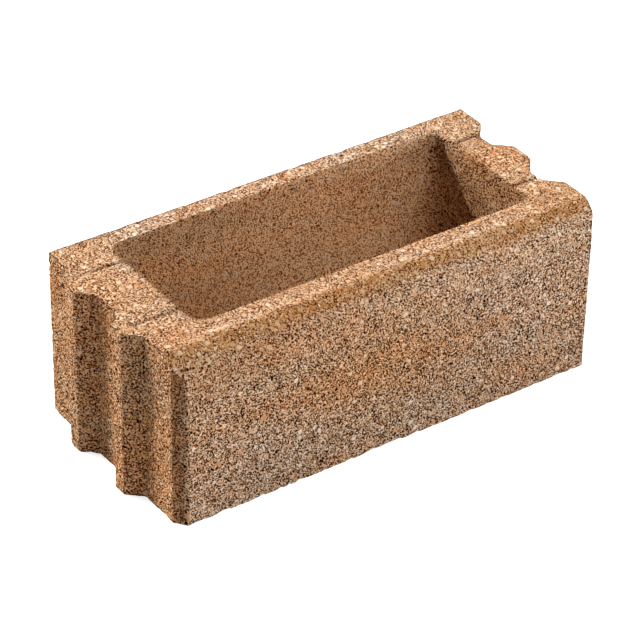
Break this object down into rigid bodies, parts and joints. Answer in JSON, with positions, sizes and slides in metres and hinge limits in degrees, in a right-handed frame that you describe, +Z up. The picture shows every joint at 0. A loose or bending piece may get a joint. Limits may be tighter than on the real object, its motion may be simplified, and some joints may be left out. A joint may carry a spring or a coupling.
{
  "type": "hollow concrete wall block",
  "caption": "Hollow wall block of open-grained tan concrete with a through cavity, interlocking toothed and grooved ends and a bevelled front, laid in courses to build a wall.",
  "frame": {"origin": "centre of the bounding box, at the bottom bed (z = 0)", "axes": "+X along the block from the toothed end to the grooved end, -Y out of the bevelled front face, +Z up from the bottom bed to the top bed"},
  "size_m": [0.4096, 0.185, 0.15],
  "materials": {
    "concrete": "matte, open-grained, sandy tan with orange and grey patches"
  },
  "bodies": {
    "root": {"block": "concrete"}
  },
  "joints": []
}
